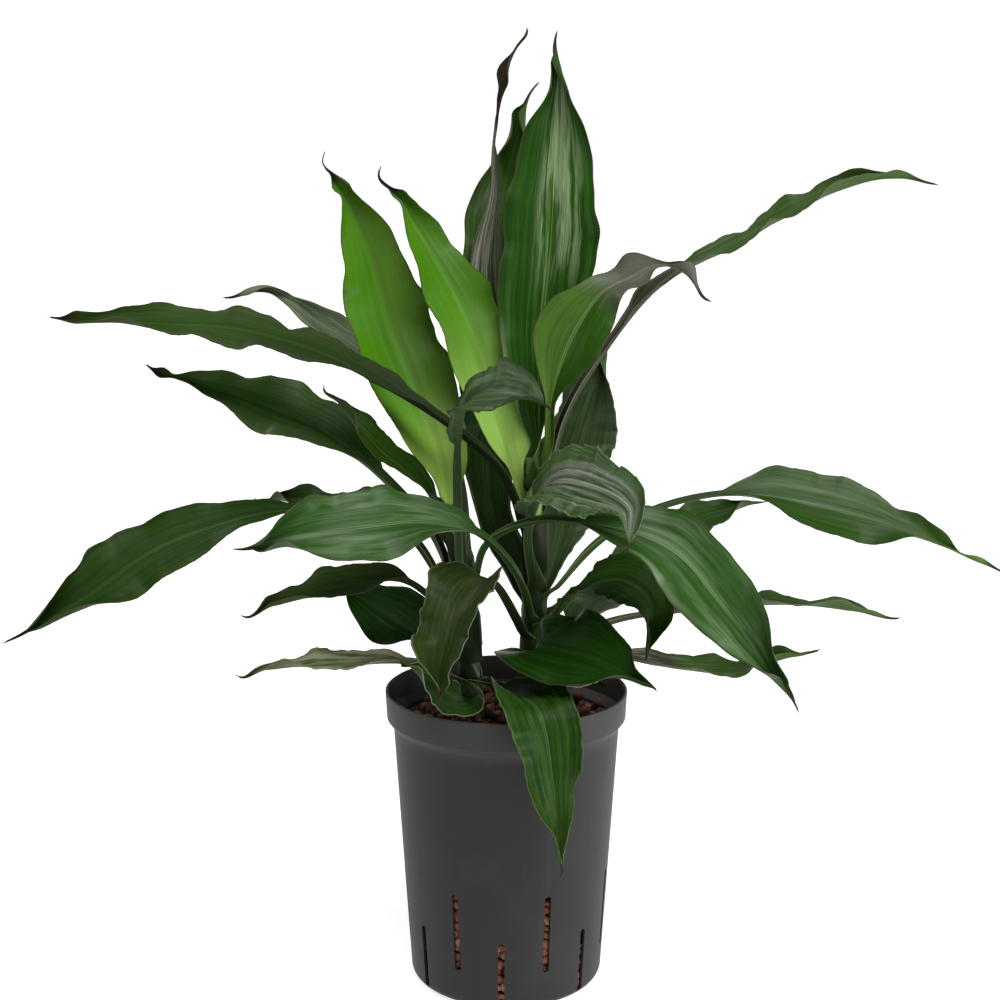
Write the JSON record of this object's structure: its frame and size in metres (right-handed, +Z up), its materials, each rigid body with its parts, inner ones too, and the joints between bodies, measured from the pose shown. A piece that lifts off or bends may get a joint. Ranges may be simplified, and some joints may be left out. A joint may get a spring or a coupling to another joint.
{
  "type": "potted plant",
  "caption": "Potted dracaena: long, wavy, pointed green leaves on upright canes, growing in clay granules in a grey plastic pot with drain slots.",
  "frame": {"origin": "centre of the pot's underside, where it stands", "axes": "+Z up along the pot's axis, front towards -Y, +X to the plant's right as seen from the front"},
  "size_m": [0.6002, 0.2585, 0.5823],
  "materials": {
    "pot": "satin",
    "clay": "matte",
    "cane": "matte",
    "leaf_dark": "satin",
    "leaf_green": "satin",
    "leaf_bright": "satin",
    "leaf_grey": "satin"
  },
  "bodies": {
    "root": {"pot": "pot", "clay_granules": "clay", "cane_left": "cane", "cane_right": "cane", "leaf_back_low": "leaf_dark", "leaf_centre_bowed": "leaf_dark", "leaf_centre_bright": "leaf_bright", "leaf_centre_curled": "leaf_bright", "leaf_front_hanging": "leaf_green", "leaf_front_right": "leaf_dark", "leaf_front_small": "leaf_green", "leaf_front_wavy": "leaf_dark", "leaf_left_back": "leaf_dark", "leaf_left_bright": "leaf_bright", "leaf_left_broad": "leaf_green", "leaf_left_hidden": "leaf_dark", "leaf_left_long": "leaf_green", "leaf_left_low": "leaf_green", "leaf_left_lower": "leaf_dark", "leaf_left_top": "leaf_dark", "leaf_left_twisted": "leaf_grey", "leaf_left_upper": "leaf_dark", "leaf_left_young": "leaf_green", "leaf_right_back": "leaf_dark", "leaf_right_broad": "leaf_green", "leaf_right_drooping": "leaf_green", "leaf_right_folded": "leaf_grey", "leaf_right_long": "leaf_dark", "leaf_right_low": "leaf_green", "leaf_right_lowest": "leaf_dark", "leaf_right_top": "leaf_dark", "leaf_right_upright": "leaf_grey", "leaf_rim_small": "leaf_green", "leaf_top_back": "leaf_dark", "leaf_top_spear": "leaf_grey", "leaf_top_tall": "leaf_dark"}
  },
  "joints": []
}
